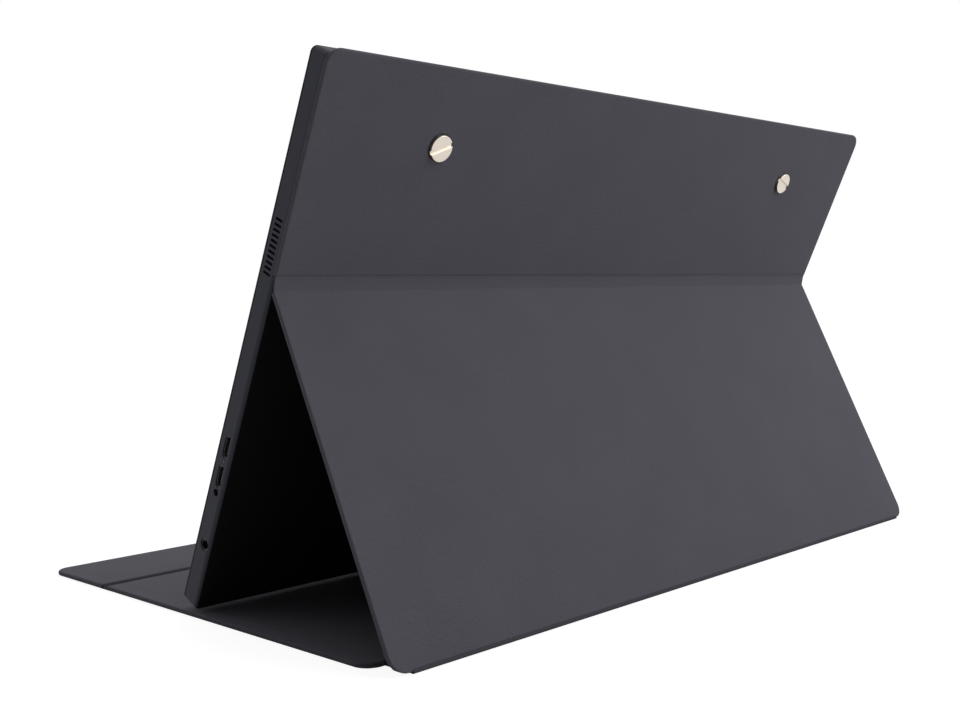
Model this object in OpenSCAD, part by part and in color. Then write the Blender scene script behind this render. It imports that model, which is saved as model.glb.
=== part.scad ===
// Portable 15.6 inch monitor held in a folding fabric cover.
// The cover is one length of board and cloth in four panels: the upper panel is screwed to
// the monitor's back, the leg folds out behind it, and the base and flap lie on the table.
// Frame: X across the screen, the screen faces -Y, Z up, origin under the middle.

/* [Monitor] */
// Width of the monitor's case
monitor_w = 353; // [330:1:380]
// Height of the monitor's case
monitor_h = 216.6; // [205:0.1:240]
// Thickness of the monitor's case
monitor_t = 9; // [9:0.1:12]
// Radius of the case's four corners
monitor_r = 2.5; // [2:0.5:9]
// Thickness of the case's side walls
shell_wall = 1.4; // [1:0.1:2]
// Thickness of the case's back
shell_floor = 1.2; // [0.9:0.1:1.3]
// Thickness of the front frame
bezel_t = 1; // [0.8:0.1:1.2]
// Width of the front frame at the sides
bezel_side = 4.4; // [3:0.1:8]
// Height of the front frame above the picture
bezel_top = 6; // [4:0.1:9]
// Height of the front frame below the picture
bezel_chin = 16.8; // [14:0.1:24]
// Width of the fine groove between frame and case
seam_w = 0.25; // [0.1:0.05:0.4]
// Depth of that groove
seam_d = 0.5; // [0.2:0.1:0.8]

/* [Display panel] */
// Height of the display module
panel_h = 201.5; // [198:0.5:202]
// Gap between the display module and the case
panel_gap = 0.4; // [0.35:0.05:0.8]
// Thickness of the glass cell
cell_t = 0.7; // [0.5:0.1:0.8]
// Thickness of the stack of optical films
films_t = 0.25; // [0.15:0.05:0.3]
// Thickness of the light guide
guide_t = 0.6; // [0.4:0.1:0.7]
// Thickness of the reflector sheet
reflector_t = 0.1; // [0.1:0.05:0.15]
// Sheet thickness of the steel tray behind the stack
tray_t = 0.25; // [0.2:0.05:0.3]
// Thickness of the foam gasket behind the front frame
gasket_t = 0.2; // [0.1:0.05:0.3]
// Width of the foam gasket
gasket_w = 1.5; // [1:0.1:2]
// Width of the backlight strip along the guide's lower edge
led_bar_w = 1.2; // [0.8:0.1:2]

/* [Cover] */
// Thickness of the outer cloth with its glue
skin_t = 0.4; // [0.3:0.05:0.5]
// Thickness of the board in each panel
board_t = 1.2; // [1:0.1:1.4]
// Thickness of the inner lining
lining_t = 0.4; // [0.3:0.05:0.5]
// Width of the cloth turned in over the board's edge
hem_w = 7; // [4:0.5:12]
// How far the cover stands out past each side of the monitor
cover_margin = 1; // [0.6:0.1:3]
// How far the cover stands up past the monitor's top edge
cover_over = 2; // [0:0.1:5]
// Radius of the base's rear corners and the flap's front corners
cover_r = 7; // [5:0.5:12]
// Radius of the upper panel's two top corners
top_r = 6; // [3:0.5:12]
// Radius of the leg's two lower corners
foot_r = 6.5; // [3:0.5:12]
// Length of the panel on the monitor's back, fold to top edge
upper_len = 84; // [75:0.1:95]
// Length of the base panel, crease to rear edge
base_len = 171; // [160:0.5:190]
// Length of the front flap
flap_len = 46.7; // [38:0.1:60]
// Width of the soft spine, from the base's rear edge to the foot fold
spine_w = 13; // [12.6:0.1:20]
// How far the spine stays inside the cover's sides
spine_inset = 8; // [7:0.5:30]
// Board edge to fold line, above the back fold
fold_above = 4.6; // [3:0.1:7]
// Board edge to fold line, below the back fold
fold_below = 1.3; // [1.1:0.1:3]
// Board edge to fold line, at the foot
foot_gutter = 1.8; // [1.7:0.1:3]
// Board edge to crease line, at the flap
flap_gutter = 2.2; // [2.1:0.1:4]

/* [Stand] */
// Lean of the screen from upright
monitor_tilt = 24.7; // [20:0.1:27]
// Running gap between the monitor's lower edge and the base
slide_gap = 0.25; // [0.15:0.05:0.5]

/* [Fixing screws] */
// Distance between the two cover screws
screw_span = 237; // [200:1:280]
// Height of the cover screws above the fold line
screw_up = 54.8; // [40:0.1:60]
// Diameter of a screw's head
head_d = 10; // [8:0.1:12]
// Thickness of a screw's head
head_t = 1.3; // [1:0.1:1.6]
// Width of the coin slot in the head
coin_slot_w = 1.5; // [1:0.1:2]
// Depth of the coin slot in the head
coin_slot_d = 0.8; // [0.4:0.1:0.8]
// Turn of the coin slot in the right-hand screw, seen from the front
slot_turn_right = -24; // [-90:1:90]
// Turn of the coin slot in the left-hand screw, seen from the front
slot_turn_left = 20; // [-90:1:90]
// Diameter of the screw's thread
thread_d = 4; // [3:0.1:4.4]
// Gap round the head in the cover's cloth
head_gap = 0.8; // [0.4:0.1:1.5]
// Thickness of the washer under the head
washer_t = 0.25; // [0.2:0.05:0.4]
// Wall of the threaded insert
insert_wall = 1.2; // [0.8:0.1:1.5]
// Wall of the boss that holds the insert
boss_wall = 1.4; // [1:0.1:2]

/* [Sockets] */
// Height of the first USB-C socket above the case's lower edge
usb_one_up = 69.3; // [68:0.1:72]
// Height of the second USB-C socket above the case's lower edge
usb_two_up = 57; // [56.5:0.1:57.5]
// Height of the status light above the case's lower edge
light_up = 63.3; // [63:0.1:63.5]
// Height of the power socket above the case's lower edge
dc_up = 50.2; // [46:0.1:50.3]
// Height of the headphone socket above the case's lower edge
jack_up = 27.7; // [26:0.1:34]
// Width of a USB-C socket's mouth
usb_mouth_w = 8.34; // [8.3:0.01:8.4]
// Height of a USB-C socket's mouth
usb_mouth_h = 2.56; // [2.5:0.01:2.6]
// Sheet thickness of a USB-C socket's shell
usb_sheet = 0.3; // [0.2:0.05:0.3]
// Length of a USB-C socket
usb_depth = 7.3; // [6.5:0.1:10]
// Gap round a socket in the case's wall
socket_gap = 0.12; // [0.1:0.01:0.15]
// How far a socket's mouth lies inside the wall's outer face
socket_recess = 0.4; // [0.2:0.1:0.6]
// Diameter of the power socket's hole
dc_hole_d = 2.6; // [2.2:0.1:2.8]
// Diameter of the headphone socket's bore
jack_bore_d = 3.6; // [3.5:0.1:3.7]
// Length of the headphone socket
jack_len = 13; // [11:0.5:16]
// Height of the headphone socket's body
jack_body_h = 4.3; // [4.2:0.1:4.4]
// Diameter of the status light
light_d = 1; // [0.6:0.1:1.2]

/* [Boards] */
// Thickness of the circuit boards
pcb_t = 1; // [0.8:0.1:1]
// Width of the controller board
pcb_w = 52; // [46:1:80]
// Height of the controller board
pcb_h = 60; // [58:1:70]
// Height of the controller board's lower edge above the case's lower edge
pcb_up = 20; // [19:0.5:21]
// Height of the pads that the boards stand on
pad_h = 0.2; // [0.1:0.05:0.25]
// Height of the narrow driver board
driver_h = 8.5; // [6:0.5:9]
// Width of the driver board
driver_w = 230; // [180:1:240]
// Thickness of the flat cables
ribbon_t = 0.15; // [0.1:0.05:0.2]

/* [Speakers] */
// Distance from the case's top edge to the middle of the speaker slots
speaker_down = 69.1; // [60:0.1:85]
// Number of slots in each group
slot_count = 11; // [5:1:15]
// Distance from slot to slot
slot_pitch = 1.97; // [1.6:0.01:2.2]
// Width of one slot
slot_w = 1; // [0.6:0.1:1.2]
// Length of one slot
slot_len = 4.2; // [3:0.1:4.4]
// Depth of the slots' middle behind the screen's face
slot_back = 4.5; // [4.2:0.1:4.7]
// Length of a speaker box
speaker_len = 32; // [26:1:45]
// Depth of a speaker box
speaker_d = 13; // [10:0.5:20]
// Length of a speaker's magnet
speaker_magnet_len = 12; // [8:0.5:20]
// Height of a speaker box
speaker_h = 4; // [3.6:0.1:4.4]

/* [Keys] */
// Height of the power key above the case's lower edge
power_up = 44; // [42:0.5:46]
// Height of the menu rocker above the case's lower edge
rocker_up = 68; // [64:0.5:72]
// Length of the power key
power_len = 9; // [6:0.5:12]
// Length of the menu rocker
rocker_len = 16; // [14:0.5:20]
// Width of both keys
key_w = 2.2; // [1.8:0.1:2.6]
// How far the keys stand out of the wall
key_proud = 0.4; // [0.2:0.05:0.6]
// Gap round a key in the wall
key_gap = 0.15; // [0.1:0.05:0.3]
// Travel of the power key
key_travel = 0.3; // [0.2:0.05:0.4]

/* [Magnets] */
// Diameter of the magnets in the base
magnet_d = 8; // [6:0.5:10]
// Thickness of the magnets
magnet_t = 0.9; // [0.6:0.1:0.9]
// Distance from magnet to magnet
magnet_pitch = 70; // [50:1:80]

/* [Hidden] */
$fn = 64;

// Small clearances
fit = 0.05;                 // round a piece that drops into a pocket
cut = 1;                    // overshoot of a cutting tool
fold_fit = 0.5;             // end of each cloth tab to its fold line
crease_fit = 0.7;           // the same for the flap's tab, which closes further
end_r = 0.5;                // corner radius of a panel at a fold
thread_gap = 0.2;           // round a thread in a hole
hole_floor = 0.4;           // left under a blind hole

// Cover layers, counted from the outer cloth inwards
cover_t = skin_t + board_t + lining_t;
cover_w = monitor_w + 2 * cover_margin;
hinge_t = skin_t + lining_t;
spine_half = cover_w / 2 - spine_inset;

// Stand: both folds turn at the middle of the hinge cloth
lower_len = monitor_h + cover_over - upper_len;
foot_z = hinge_t / 2;
back_depth = cover_t - hinge_t / 2;
leg_len = lower_len + cover_t + slide_gap - foot_z;
fold_z = cover_t + slide_gap + lower_len * cos(monitor_tilt) - back_depth * sin(monitor_tilt);
leg_tilt = acos((fold_z - foot_z) / leg_len);
foot_from_fold = leg_len * sin(leg_tilt);
base_rear = foot_from_fold - spine_w;
crease_from_fold = base_rear - base_len;
front_from_fold = crease_from_fold - flap_len;
rear_from_fold = foot_from_fold + foot_z;
fold_y = -(front_from_fold + rear_from_fold) / 2;
foot_y = fold_y + foot_from_fold;
crease_y = fold_y + crease_from_fold;
base_front_y = crease_y + flap_gutter;
base_rear_y = crease_y + base_len;
flap_rear_y = crease_y - flap_gutter;
flap_front_y = crease_y - flap_len;

// Monitor, in its own frame: y up from the fold line, z from the cover's outer cloth
top_y = upper_len - cover_over;
bot_y = top_y - monitor_h;
back_z = cover_t;
front_z = cover_t + monitor_t;
shell_top = front_z - bezel_t;
floor_z = back_z + shell_floor;
inner_x = monitor_w / 2 - shell_wall;
inner_r = monitor_r - shell_wall;
cell_top = shell_top - gasket_t;
cell_z = cell_top - cell_t;
films_z = cell_z - films_t;
guide_z = films_z - guide_t;
reflector_z = guide_z - reflector_t;
tray_z = reflector_z - tray_t;
panel_top = top_y - shell_wall - panel_gap;
panel_bot = panel_top - panel_h;
panel_half = inner_x - panel_gap;
panel_r = inner_r - panel_gap;
lip = 0.1;                  // play of the stack inside the tray
window_half = monitor_w / 2 - bezel_side;
window_top = top_y - bezel_top;
window_bot = bot_y + bezel_chin;

// Boards and what stands on them
pcb_gap = 0.3;              // controller board to the case's wall
pcb_z = floor_z + pad_h;
pcb_top = pcb_z + pcb_t;
pcb_edge = inner_x - pcb_gap;
pcb_left = pcb_edge - pcb_w;
pad_d = 5;
pad_in = 38;                // pads from the driver board's ends
plug_h = 1;
plug_l = 3;
plug_edge = 1;              // plug past each side of its cable
ribbon_z = pcb_top + plug_h / 2 + fit / 2;
driver_gap = 1;             // display module to driver board
driver_top = panel_bot - driver_gap;
driver_bot = driver_top - driver_h;
flex_w = 20;
flex_gap = 0.25;            // flexes to the display module's edge
flex_lap = 1;               // flexes onto the driver board
flex_pitch = 46;
led_strip_w = 0.5;
led_w = 3;
led_pitch = 8;
video_w = 14;
video_up = 27;              // video plug's middle above the case's lower edge
board_gap = 7.8;            // driver board's end to the controller board's side
driver_right = pcb_left - board_gap;
driver_left = driver_right - driver_w;
video_x = driver_right - video_w / 2 - 2 * plug_edge;
key_cable_w = 6;
key_cable_up = (power_up + rocker_up) / 2 - key_cable_w / 2;
board_screw_d = 2;
board_screw_head_d = 3.8;
board_screw_head_h = 0.7;
board_screw_in = 6;         // screws from the board's left, lower and upper edges
board_screw_side = 20;      // third screw from the sockets' end
post_wall = 1.5;
board_screw_at = [[pcb_left + board_screw_in, board_screw_in],
    [pcb_left + board_screw_in, pcb_h - board_screw_in],
    [pcb_edge - board_screw_side, pcb_h - board_screw_in]];
// from the board's left and lower edges, then width, depth and height
chips = [[12, 24, 14, 14, 1.2], [30, 20, 9, 11, 1.1], [31, 40, 8, 6, 1], [14, 44, 10, 8, 1.6],
    [5, 14, 5, 4, 1.4], [24, 9, 6, 6, 1.8]];

// Sockets on the controller board
usb_w = usb_mouth_w + 2 * usb_sheet;
usb_h = usb_mouth_h + 2 * usb_sheet;
usb_z = pcb_top + usb_h / 2;
mouth_x = monitor_w / 2 - socket_recess;
tongue_w = 6.7;
tongue_t = 0.7;
tongue_back = 0.8;          // tongue's tip inside the mouth
dc_len = 7;
dc_w = 4.6;
dc_h = 3.3;
dc_floor = 1;
dc_pin_d = 0.8;
jack_z = pcb_z + jack_body_h / 2;
jack_body_w = 6;
jack_nose_wall = 0.5;
jack_nose_d = jack_bore_d + 2 * jack_nose_wall;
jack_floor = 1;
notch_play = 0.4;
light_len = 2;
light_foot = 1.6;

// Steel strip in the chin
strip_t = 0.6;
strip_h = 4;
strip_len = 200;

// Speakers
speaker_y = top_y - speaker_down;
slot_z = front_z - slot_back;
mesh_t = 0.2;
speaker_face = inner_x - mesh_t - lip;
speaker_wall = 0.8;
cone_t = 0.6;
cone_back = 1.6;            // cone's rear face behind the box's mouth

// Keys on the other side wall
key_above = 2.7;            // keys' middle above the case's floor
key_z = floor_z + key_above;
wall_in = -inner_x;
flange_t = 0.6;
flange_edge = 1;
stem_d = 1.6;
rocker_gap = 0.3;
rocker_plate = 0.8;
rocker_switch = 6;          // each switch from the rocker's middle
rocker_throw = 0.2;
pin_d = 1.2;
hub_d = 2.7;
hub_h = 3.2;
hub_sink = 0.5;             // hub into the rocker's plate
hub_x = wall_in + rocker_gap + rocker_plate + hub_d / 2 - hub_sink;
tip_d = 1.4;
tip_len = 0.6;
tip_play = 0.1;
switch_w = 3.4;
switch_h = 2.6;
switch_len = 2;
stem_len = 0.5;
switch_tip = wall_in + flange_t + fit + 2 * key_travel + stem_len;
key_pcb_t = 0.8;
key_pcb_h = 4.4;
key_pcb_x = switch_tip + switch_len;
key_pcb_edge = 8;           // board past the power key's middle
key_pcb_low = power_up - key_pcb_edge;
key_pcb_high = rocker_up + rocker_switch + switch_w;

// Screws through the cover
insert_d = thread_d + 2 * insert_wall;
boss_d = insert_d + 2 * boss_wall;
tray_play = 0.3;            // bosses and pins to the display module
boss_top = tray_z - tray_play;
washer_edge = 0.5;
washer_d = head_d + 2 * washer_edge;
shank_d = thread_d - thread_gap;
shank_end = 0.6;            // shank's end below the boss's top
insert_end = 0.2;           // insert's end below the boss's top

// Magnets
magnet_y = fold_y - lower_len * sin(monitor_tilt) - back_depth * cos(monitor_tilt);
magnet_z = skin_t + board_t - magnet_t;

// Frames of the leaning pieces
module in_monitor() {
    translate([0, fold_y, fold_z]) rotate([90 - monitor_tilt, 0, 0])
        translate([0, 0, -hinge_t / 2]) children();
}

module in_leg() {
    translate([0, fold_y, fold_z]) rotate([90 + leg_tilt, 0, 0])
        translate([0, 0, -hinge_t / 2]) children();
}

// Outlines
module sheet_outline(half, y0, y1, r0, r1) {
    wide = max(r0, r1);
    translate([-half, y0 + r0]) square([2 * half, y1 - y0 - r0 - r1]);
    translate([-half + wide, y0]) square([2 * (half - wide), y1 - y0]);
    for (s = [-1, 1]) {
        translate([s * (half - r0), y0 + r0]) circle(r0);
        translate([s * (half - r1), y1 - r1]) circle(r1);
        // square shoulder where the two ends have different radii
        if (r0 < r1) translate([s * (half - (r0 + r1) / 2) - (r1 - r0) / 2, y0])
            square([r1 - r0, r0 + fit]);
        if (r1 < r0) translate([s * (half - (r0 + r1) / 2) - (r0 - r1) / 2, y1 - r1 - fit])
            square([r0 - r1, r1 + fit]);
    }
}

module stadium(len, h) {
    square([len - h, h], center = true);
    for (s = [-1, 1]) translate([s * (len - h) / 2, 0]) circle(d = h);
}

module slab(z0, z1) {
    translate([0, 0, z0]) linear_extrude(z1 - z0) children();
}

// A shape drawn in the side wall's plane (up, depth) and run along X from x0 to x1
module along_x(x0, x1, up, z) {
    translate([x0, bot_y + up, z]) rotate([90, 0, 90]) linear_extrude(x1 - x0) children();
}

// Cover panels: z runs from the outer cloth to the lining
module cover_skin(y0, y1, r0, r1) {
    difference() {
        slab(0, cover_t) sheet_outline(cover_w / 2, y0, y1, r0, r1);
        slab(skin_t, skin_t + board_t)
            sheet_outline(cover_w / 2 - skin_t, y0 + skin_t, y1 - skin_t,
                max(r0 - skin_t, end_r), max(r1 - skin_t, end_r));
        slab(skin_t + board_t - fit, cover_t + cut)
            sheet_outline(cover_w / 2 - hem_w, y0 + hem_w, y1 - hem_w, end_r, end_r);
    }
}

module cover_board(y0, y1, r0, r1) {
    edge = skin_t + fit;
    slab(skin_t, skin_t + board_t)
        sheet_outline(cover_w / 2 - edge, y0 + edge, y1 - edge,
            max(r0 - skin_t, end_r), max(r1 - skin_t, end_r));
}

module cover_lining(y0, y1) {
    edge = hem_w + fit;
    slab(skin_t + board_t, cover_t)
        sheet_outline(cover_w / 2 - edge, y0 + edge, y1 - edge, end_r, end_r);
}

// Cloth tab that bridges a gutter, from the panel's end to near the fold line
module hinge_tab(half, y0, y1) {
    translate([-half, y0, 0]) cube([2 * half, y1 - y0, hinge_t]);
}

// Round end of the lower cloth at a fold line on the table
module cloth_roll(half, y) {
    translate([-half, y, foot_z]) rotate([0, 90, 0]) cylinder(h = 2 * half, d = hinge_t);
}

module screw_places() {
    for (s = [-1, 1]) translate([s * screw_span / 2, screw_up, 0]) children();
}

module coin_slots(z0, z1) {
    for (s = [-1, 1]) translate([s * screw_span / 2, screw_up, z0])
        rotate(s > 0 ? slot_turn_right : slot_turn_left)
            translate([-head_d, -coin_slot_w / 2, 0]) cube([2 * head_d, coin_slot_w, z1 - z0]);
}

// ---- Case ----
module case_outline(inset) {
    r = monitor_r - inset;
    sheet_outline(monitor_w / 2 - inset, bot_y + inset, top_y - inset, r, r);
}

module slots(x0, x1) {
    middle = speaker_y - bot_y;
    for (i = [0 : slot_count - 1])
        along_x(x0, x1, middle + (i - (slot_count - 1) / 2) * slot_pitch, slot_z)
            rotate(90) stadium(slot_len, slot_w);
}

module socket_holes() {
    x0 = inner_x - cut;
    x1 = monitor_w / 2 + cut;
    for (up = [usb_one_up, usb_two_up])
        along_x(x0, x1, up, usb_z) stadium(usb_w + 2 * socket_gap, usb_h + 2 * socket_gap);
    along_x(x0, x1, dc_up, pcb_top + dc_h / 2) circle(d = dc_hole_d + 2 * socket_gap);
    along_x(x0, x1, jack_up, jack_z) circle(d = jack_nose_d + 2 * socket_gap);
    along_x(x0, x1, light_up, usb_z) circle(d = light_d + 2 * fit);
}

module key_holes() {
    x0 = -monitor_w / 2 - cut;
    x1 = wall_in + cut;
    w = key_w + 2 * key_gap;
    along_x(x0, x1, power_up, key_z) stadium(power_len + 2 * key_gap, w);
    along_x(x0, x1, rocker_up, key_z) stadium(rocker_len + 2 * key_gap, w);
}

module rear_shell() {
    color("#3b3b40") in_monitor() difference() {
        union() {
            difference() {
                slab(back_z, shell_top) case_outline(0);
                slab(floor_z, shell_top + cut) case_outline(shell_wall);
            }
            screw_places() translate([0, 0, back_z]) cylinder(h = boss_top - back_z, d = boss_d);
            for (p = board_screw_at) translate([p[0], bot_y + pcb_up + p[1], back_z])
                cylinder(h = pcb_z - back_z, d = board_screw_d + 2 * post_wall);
        }
        screw_places() {
            translate([0, 0, back_z - cut])
                cylinder(h = cut + shell_floor + fit, d = thread_d + 2 * thread_gap);
            translate([0, 0, floor_z]) cylinder(h = boss_top, d = insert_d + 2 * fit);
        }
        for (p = board_screw_at) translate([p[0], bot_y + pcb_up + p[1], back_z + hole_floor])
            cylinder(h = pcb_z, d = board_screw_d);
        socket_holes();
        key_holes();
        slots(inner_x - cut, monitor_w / 2 + cut);
        slots(-monitor_w / 2 - cut, wall_in + cut);
    }
}

module front_bezel() {
    color("#26262a") in_monitor() difference() {
        union() {
            slab(shell_top + seam_w, front_z) case_outline(0);
            slab(shell_top, front_z) case_outline(seam_d);
        }
        slab(shell_top - cut, front_z + cut) translate([-window_half, window_bot])
            square([2 * window_half, window_top - window_bot]);
    }
}

module bezel_gasket() {
    color("#111113") in_monitor() slab(cell_top, shell_top) difference() {
        translate([-window_half - gasket_w, window_bot - gasket_w])
            square([2 * (window_half + gasket_w), window_top - window_bot + 2 * gasket_w]);
        translate([-window_half, window_bot])
            square([2 * window_half, window_top - window_bot]);
    }
}

// ---- Display module ----
module panel_outline(inset) {
    r = max(panel_r - inset, end_r);
    sheet_outline(panel_half - inset, panel_bot + inset, panel_top - inset, end_r, r);
}

module lcd_cell() {
    color("#0b0d12") in_monitor() slab(cell_z, cell_top) panel_outline(tray_t + lip);
}

module optical_films() {
    color("#e8ecef") in_monitor() slab(films_z, cell_z) panel_outline(tray_t + 2 * lip);
}

module light_guide() {
    inset = tray_t + 2 * lip;
    color("#dfe9ec") in_monitor() slab(guide_z, films_z) difference() {
        panel_outline(inset);
        translate([-monitor_w / 2, panel_bot - cut])
            square([monitor_w, cut + inset + led_bar_w + 2 * lip]);
    }
}

module backlight_bar() {
    inset = tray_t + lip;
    x = panel_half - inset - end_r;
    color("#f4efc8") in_monitor() {
        translate([-x, panel_bot + inset, guide_z]) cube([2 * x, led_strip_w, guide_t]);
        for (at = [-x + led_w : led_pitch : x - 2 * led_w])
            translate([at, panel_bot + inset + led_strip_w, guide_z])
                cube([led_w, led_bar_w - led_strip_w, guide_t - lip]);
    }
}

module reflector_sheet() {
    color("#f5f7f7") in_monitor() slab(reflector_z, guide_z) panel_outline(tray_t + 2 * lip);
}

module panel_tray() {
    color("#a9adb1") in_monitor() difference() {
        slab(tray_z, cell_top - 2 * lip) panel_outline(0);
        slab(reflector_z, cell_top + cut) panel_outline(tray_t);
    }
}

// ---- Boards ----
module driver_board() {
    color("#2c6b3c") in_monitor() {
        translate([driver_left, driver_bot, pcb_z]) cube([driver_w, driver_h, pcb_t]);
        for (x = [driver_left + pad_in, driver_right - pad_in])
            translate([x, driver_bot + driver_h / 2, floor_z]) cylinder(h = pad_h, d = pad_d);
        difference() {
            translate([video_x - video_w / 2 - plug_edge, driver_top - plug_l, pcb_top])
                cube([video_w + 2 * plug_edge, plug_l, plug_h]);
            translate([video_x - video_w / 2 - lip, driver_top - plug_l / 2, pcb_top + plug_h / 2])
                cube([video_w + 2 * lip, plug_l, ribbon_t + fit]);
        }
    }
}

module driver_flexes() {
    y = driver_top - flex_lap;
    y_up = panel_bot - flex_gap;
    color("#c98a3a") in_monitor() for (i = [-1.5 : 1.5]) translate([i * flex_pitch - flex_w / 2, 0, 0]) {
        translate([0, y, pcb_top]) cube([flex_w, y_up - y, ribbon_t]);
        translate([0, y_up - ribbon_t, pcb_top]) cube([flex_w, ribbon_t, cell_top - 2 * lip - pcb_top]);
    }
}

// L-shaped flat cable between the two boards, in one plane
module video_cable() {
    x0 = video_x - video_w / 2;
    x1 = pcb_left + plug_l / 2 - lip;
    y_plug = driver_top - plug_l / 2 + lip;
    y_run = bot_y + video_up - video_w / 2;
    y0 = min(y_plug, y_run);
    color("#d9d2c0") in_monitor() {
        translate([x0, y0, ribbon_z]) cube([video_w, max(y_plug, y_run + video_w) - y0, ribbon_t]);
        translate([x0, y_run, ribbon_z]) cube([x1 - x0, video_w, ribbon_t]);
    }
}

// Plug at the controller board's left edge, and the slit in it
module side_plug(up, w) {
    translate([pcb_left, bot_y + up - w / 2 - plug_edge, pcb_top])
        cube([plug_l, w + 2 * plug_edge, plug_h]);
}

module side_slit(up, w) {
    translate([pcb_left - cut, bot_y + up - w / 2 - lip, pcb_top + plug_h / 2])
        cube([cut + plug_l / 2, w + 2 * lip, ribbon_t + fit]);
}

module controller_board() {
    y0 = bot_y + pcb_up;
    color("#1f5c35") in_monitor() difference() {
        union() {
            translate([pcb_left, y0, pcb_z]) cube([pcb_w, pcb_h, pcb_t]);
            side_plug(video_up, video_w);
            side_plug(key_cable_up, key_cable_w);
        }
        side_slit(video_up, video_w);
        side_slit(key_cable_up, key_cable_w);
        translate([pcb_edge - jack_len - notch_play, bot_y + jack_up - jack_body_w / 2 - notch_play,
            pcb_z - cut])
            cube([jack_len + cut + notch_play, jack_body_w + 2 * notch_play, pcb_t + 2 * cut]);
        for (p = board_screw_at) translate([p[0], y0 + p[1], pcb_z - cut])
            cylinder(h = pcb_t + 2 * cut, d = board_screw_d + 2 * fit);
    }
}

module controller_chips() {
    y0 = bot_y + pcb_up;
    color("#222428") in_monitor() for (c = chips)
        translate([pcb_left + c[0], y0 + c[1], pcb_top]) cube([c[2], c[3], c[4]]);
}

module board_screws() {
    color("#c8c9cc") in_monitor() for (p = board_screw_at)
        translate([p[0], bot_y + pcb_up + p[1], 0]) {
            translate([0, 0, pcb_top]) cylinder(h = board_screw_head_h, d = board_screw_head_d);
            translate([0, 0, back_z + hole_floor + fit])
                cylinder(h = pcb_top - back_z - hole_floor, d = board_screw_d - 2 * fit);
        }
}

// ---- Sockets ----
module usb_c_shells() {
    color("#b9bcc0") in_monitor() for (up = [usb_one_up, usb_two_up]) difference() {
        along_x(mouth_x - usb_depth, mouth_x, up, usb_z) stadium(usb_w, usb_h);
        along_x(mouth_x - usb_depth + usb_sheet, mouth_x + cut, up, usb_z)
            stadium(usb_mouth_w, usb_mouth_h);
    }
}

module usb_c_tongues() {
    color("#1b1b1d") in_monitor() for (up = [usb_one_up, usb_two_up])
        translate([mouth_x - usb_depth + usb_sheet, bot_y + up - tongue_w / 2, usb_z - tongue_t / 2])
            cube([usb_depth - usb_sheet - tongue_back, tongue_w, tongue_t]);
}

module dc_jack() {
    x0 = pcb_edge - dc_len;
    z = pcb_top + dc_h / 2;
    color("#2a2a2c") in_monitor() {
        difference() {
            translate([x0, bot_y + dc_up - dc_w / 2, pcb_top]) cube([dc_len, dc_w, dc_h]);
            along_x(x0 + dc_floor, pcb_edge + cut, dc_up, z) circle(d = dc_hole_d);
        }
        along_x(x0 + dc_floor / 2, pcb_edge - dc_floor / 2, dc_up, z) circle(d = dc_pin_d);
    }
}

module audio_jack() {
    body_x = inner_x - lip;
    color("#1d1d1f") in_monitor() difference() {
        union() {
            translate([body_x - jack_len, bot_y + jack_up - jack_body_w / 2, jack_z - jack_body_h / 2])
                cube([jack_len, jack_body_w, jack_body_h]);
            along_x(body_x - cut, mouth_x, jack_up, jack_z) circle(d = jack_nose_d);
        }
        along_x(body_x - jack_len + jack_floor, mouth_x + cut, jack_up, jack_z) circle(d = jack_bore_d);
    }
}

module status_light() {
    color("#cfe9f5") in_monitor() {
        along_x(pcb_edge - light_len, monitor_w / 2 - lip, light_up, usb_z) circle(d = light_d);
        translate([pcb_edge - light_len, bot_y + light_up - light_foot / 2, pcb_top])
            cube([light_foot, light_foot, usb_z - pcb_top]);
    }
}

// ---- Speakers, one behind each group of slots ----
module both_sides() {
    children();
    mirror([1, 0, 0]) children();
}

module speaker_boxes() {
    color("#18181a") in_monitor() both_sides() difference() {
        translate([speaker_face - speaker_d, speaker_y - speaker_len / 2, floor_z])
            cube([speaker_d, speaker_len, speaker_h]);
        translate([speaker_face - speaker_d + speaker_wall, speaker_y - speaker_len / 2 + speaker_wall,
            floor_z + speaker_wall])
            cube([speaker_d, speaker_len - 2 * speaker_wall, speaker_h - 2 * speaker_wall]);
    }
}

module speaker_cones() {
    edge = speaker_wall + fit;
    color("#3d3f44") in_monitor() both_sides()
        translate([speaker_face - cone_back, speaker_y - speaker_len / 2 + edge, floor_z + edge])
            cube([cone_t, speaker_len - 2 * edge, speaker_h - 2 * edge]);
}

module speaker_magnets() {
    len = speaker_d - speaker_wall - cone_back;
    color("#8d9094") in_monitor() both_sides()
        translate([speaker_face - cone_back - len, speaker_y - speaker_magnet_len / 2,
            floor_z + speaker_wall + fit])
            cube([len, speaker_magnet_len, speaker_h - 2 * speaker_wall - 2 * fit]);
}

module speaker_mesh() {
    color("#101012") in_monitor() both_sides()
        translate([inner_x - mesh_t, speaker_y - speaker_len / 2, floor_z])
            cube([mesh_t, speaker_len, shell_top - floor_z]);
}

// ---- Keys ----
module power_key() {
    color("#3b3b40") in_monitor() {
        along_x(-monitor_w / 2 - key_proud, wall_in + fit + flange_t, power_up, key_z)
            stadium(power_len, key_w);
        along_x(wall_in + fit, wall_in + fit + flange_t, power_up, key_z)
            stadium(power_len + 2 * flange_edge, key_w + flange_edge);
        along_x(wall_in + fit, switch_tip - key_travel - tip_play, power_up, key_z) circle(d = stem_d);
    }
}

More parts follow.
